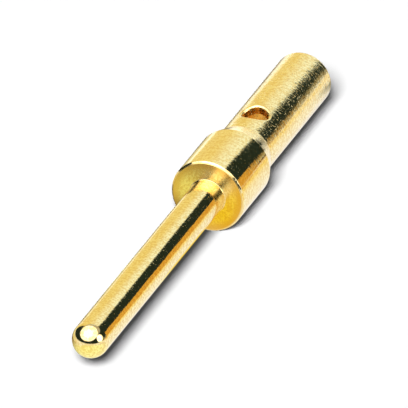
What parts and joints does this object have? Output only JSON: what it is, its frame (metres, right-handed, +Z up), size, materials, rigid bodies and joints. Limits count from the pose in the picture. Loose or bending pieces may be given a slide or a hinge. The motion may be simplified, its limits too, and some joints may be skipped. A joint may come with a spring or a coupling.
{
  "type": "crimp contact",
  "caption": "Turned male crimp contact: a round-nosed pin, a thick locating collar and a hollow crimp barrel with an inspection hole in its wall.",
  "frame": {"origin": "centre of the collar's front face, where the pin starts and where the contact seats in its insulator", "axes": "+X along the contact's own axis towards the barrel's open mouth, so the pin's nose points to -X; +Z up through the inspection hole"},
  "size_m": [0.0258, 0.0032, 0.0032],
  "materials": {
    "gold_plate": "bright gold plating over turned brass, with faint turning marks on the barrel"
  },
  "bodies": {
    "root": {"crimp_contact": "gold_plate"}
  },
  "joints": []
}
